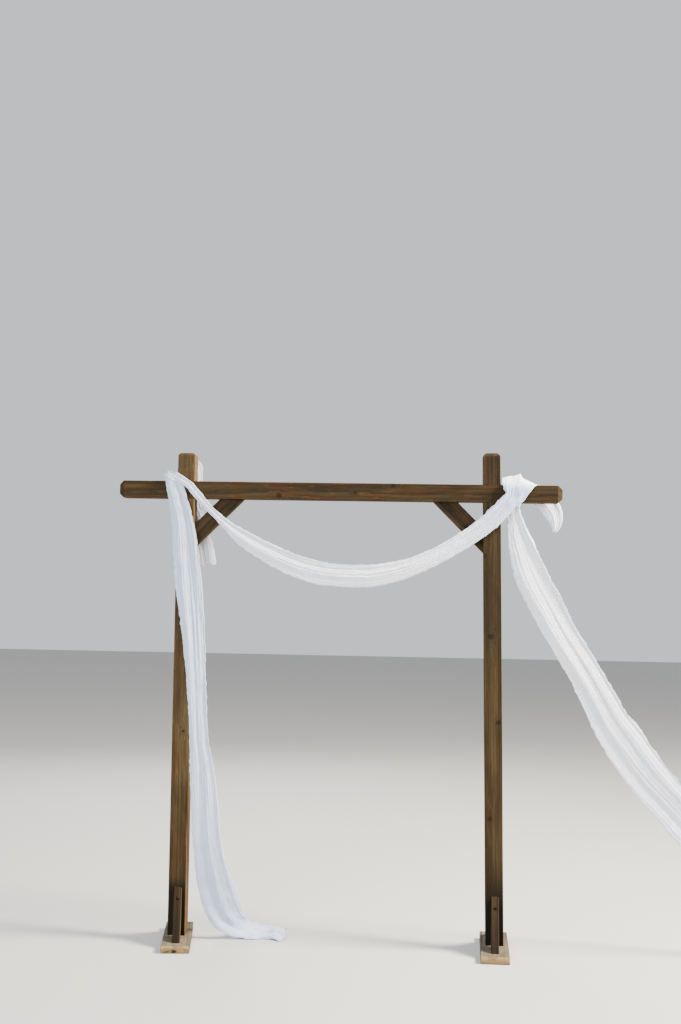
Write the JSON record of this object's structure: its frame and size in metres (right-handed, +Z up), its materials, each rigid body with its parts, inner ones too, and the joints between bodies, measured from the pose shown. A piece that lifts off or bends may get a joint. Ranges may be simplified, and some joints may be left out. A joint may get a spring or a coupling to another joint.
{
  "type": "wedding arbor",
  "caption": "Free-standing wooden ceremony arch of square posts and a lapped crossbeam on kicker-braced feet, with white gauze wrapped, swagged and trailing from its beam.",
  "frame": {"origin": "where the left post's centre line meets the floor, on the underside of its base board", "axes": "+X along the crossbeam towards the right post, +Y to the rear, +Z up"},
  "size_m": [3.7079, 0.5218, 2.4864],
  "materials": {
    "stained_timber": "matte brown stain over open softwood grain",
    "bare_timber": "unstained, weathered grey-beige",
    "dark_screw": "dark coated timber screw",
    "white_gauze": "crinkled semi-sheer white gauze"
  },
  "bodies": {
    "root": {"crossbeam": "stained_timber", "left_post": "stained_timber", "right_post": "stained_timber", "left_knee_brace": "stained_timber", "right_knee_brace": "stained_timber", "left_base_board": "bare_timber", "right_base_board": "bare_timber", "left_front_kicker": "stained_timber", "left_rear_kicker": "stained_timber", "right_front_kicker": "stained_timber", "right_rear_kicker": "stained_timber", "left_front_kicker_screw": "dark_screw", "left_rear_kicker_screw": "dark_screw", "left_brace_beam_screw": "dark_screw", "left_brace_post_screw": "dark_screw", "left_lap_upper_screw": "dark_screw", "left_lap_lower_screw": "dark_screw", "right_front_kicker_screw": "dark_screw", "right_rear_kicker_screw": "dark_screw", "right_brace_beam_screw": "dark_screw", "right_brace_post_screw": "dark_screw", "right_lap_upper_screw": "dark_screw", "right_lap_lower_screw": "dark_screw", "drape_left_tail": "white_gauze", "drape_left_floor_end": "white_gauze", "drape_left_wrap": "white_gauze", "drape_left_back_tail": "white_gauze", "drape_swag": "white_gauze", "drape_right_wrap": "white_gauze", "drape_right_back_tail": "white_gauze", "drape_right_tail": "white_gauze", "drape_right_floor_end": "white_gauze"}
  },
  "joints": []
}
